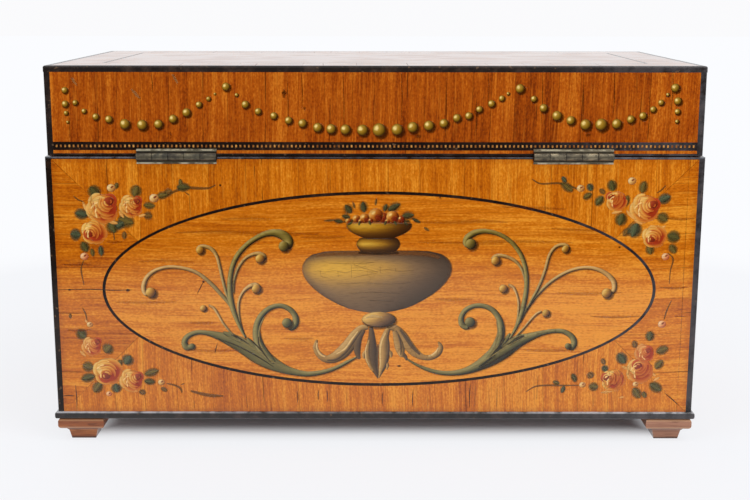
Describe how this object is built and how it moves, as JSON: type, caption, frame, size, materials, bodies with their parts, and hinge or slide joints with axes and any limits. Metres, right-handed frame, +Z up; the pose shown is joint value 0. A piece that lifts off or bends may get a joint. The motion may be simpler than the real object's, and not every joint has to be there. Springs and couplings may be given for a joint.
{
  "type": "painted wooden box",
  "caption": "Painted satinwood box with a hinged flat lid, oval crossbanded panels, ebony edge lines, plinth and stepped feet; for tea or keepsakes.",
  "frame": {"origin": "on the floor under the middle of the box's footprint", "axes": "+Z up; -Y is the front with the keyhole, +Y the back with the hinges; X runs along the length"},
  "size_m": [0.3182, 0.1591, 0.1863],
  "materials": {
    "satinwood": "varnished satinwood, painted with flowers, scrolls and an urn",
    "crossbanding": "varnished satinwood with ribbon figure across the band",
    "carcass": "oiled mahogany",
    "stringing": "polished ebony",
    "plinth": "ebonised and polished",
    "feet": "polished red mahogany",
    "hinge_brass": "dull aged brass",
    "pin": "drawn wire",
    "lock_brass": "satin brass"
  },
  "bodies": {
    "case": {"back_crossbanding": "crossbanding", "back_oval_panel": "satinwood", "back_oval_stringing": "stringing", "bottom_board": "carcass", "case_back_board": "carcass", "case_edge_stringing": "stringing", "case_front_board": "carcass", "case_left_board": "carcass", "case_right_board": "carcass", "foot_back_left": "feet", "foot_back_right": "feet", "foot_front_left": "feet", "foot_front_right": "feet", "front_crossbanding": "crossbanding", "front_oval_panel": "satinwood", "front_oval_stringing": "stringing", "hinge_left_case_leaf": "hinge_brass", "hinge_left_pin": "pin", "hinge_right_case_leaf": "hinge_brass", "hinge_right_pin": "pin", "keyhole_escutcheon": "lock_brass", "left_crossbanding": "crossbanding", "left_oval_panel": "satinwood", "left_oval_stringing": "stringing", "lock_cap": "lock_brass", "lock_case": "lock_brass", "plinth_back": "plinth", "plinth_front": "plinth", "plinth_left": "plinth", "plinth_right": "plinth", "right_crossbanding": "crossbanding", "right_oval_panel": "satinwood", "right_oval_stringing": "stringing"},
    "lid": {"hinge_left_lid_leaf": "hinge_brass", "hinge_right_lid_leaf": "hinge_brass", "lid_back_board": "carcass", "lid_back_veneer": "crossbanding", "lid_chequer_banding": "stringing", "lid_edge_stringing": "stringing", "lid_front_board": "carcass", "lid_front_veneer": "crossbanding", "lid_left_board": "carcass", "lid_left_veneer": "crossbanding", "lid_right_board": "carcass", "lid_right_veneer": "crossbanding", "lid_top_board": "carcass", "lid_top_crossbanding": "crossbanding", "lid_top_panel": "satinwood", "lid_top_stringing": "stringing", "strike_plate": "lock_brass"},
    "bolt": {"lock_bolt": "lock_brass"}
  },
  "joints": [
    {"name": "lid_hinge", "type": "hinge", "parent": "case", "child": "lid", "pos_m": [0, 0.0784, 0.1435], "axis": [-1, 0, 0], "range_deg": [0, 180]},
    {"name": "bolt_slide", "type": "slide", "parent": "case", "child": "bolt", "axis": [1, 0, 0], "range_m": [0, 0.003]}
  ]
}
